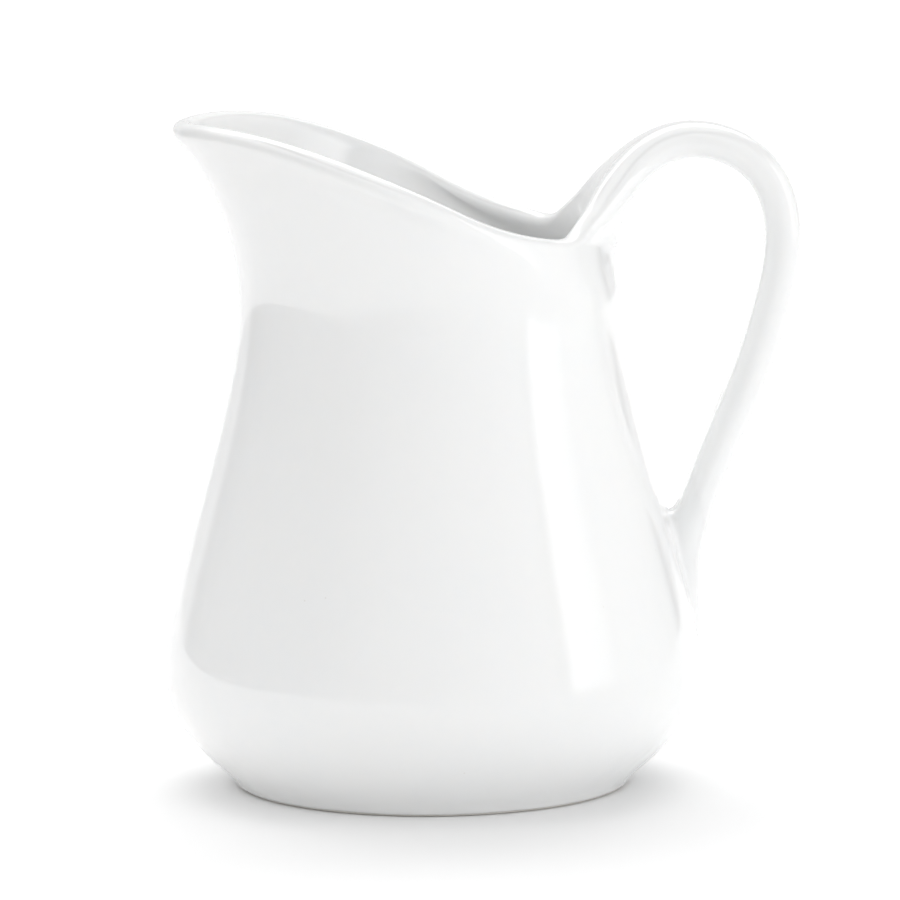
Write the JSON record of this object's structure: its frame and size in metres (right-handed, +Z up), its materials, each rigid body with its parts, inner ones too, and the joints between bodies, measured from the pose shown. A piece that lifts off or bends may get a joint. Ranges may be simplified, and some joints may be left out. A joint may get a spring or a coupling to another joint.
{
  "type": "ceramic pitcher",
  "caption": "Small white glazed porcelain milk pitcher with a low round belly, narrow neck, pulled spout sloping down to the back, and a looped strap handle",
  "frame": {"origin": "centre of the foot's resting plane, on the axis of the belly", "axes": "+Z up along the axis of the belly, -X towards the spout, +X towards the handle, Y across the mouth"},
  "size_m": [0.1047, 0.088, 0.1095],
  "materials": {
    "glazed_porcelain": "white porcelain under a clear glossy glaze",
    "bare_porcelain": "unglazed fired porcelain, matt and slightly grainy"
  },
  "bodies": {
    "root": {"vessel_body": "glazed_porcelain", "handle": "glazed_porcelain", "upper_handle_joint": "glazed_porcelain", "lower_handle_joint": "glazed_porcelain", "foot_ring": "bare_porcelain"}
  },
  "joints": []
}
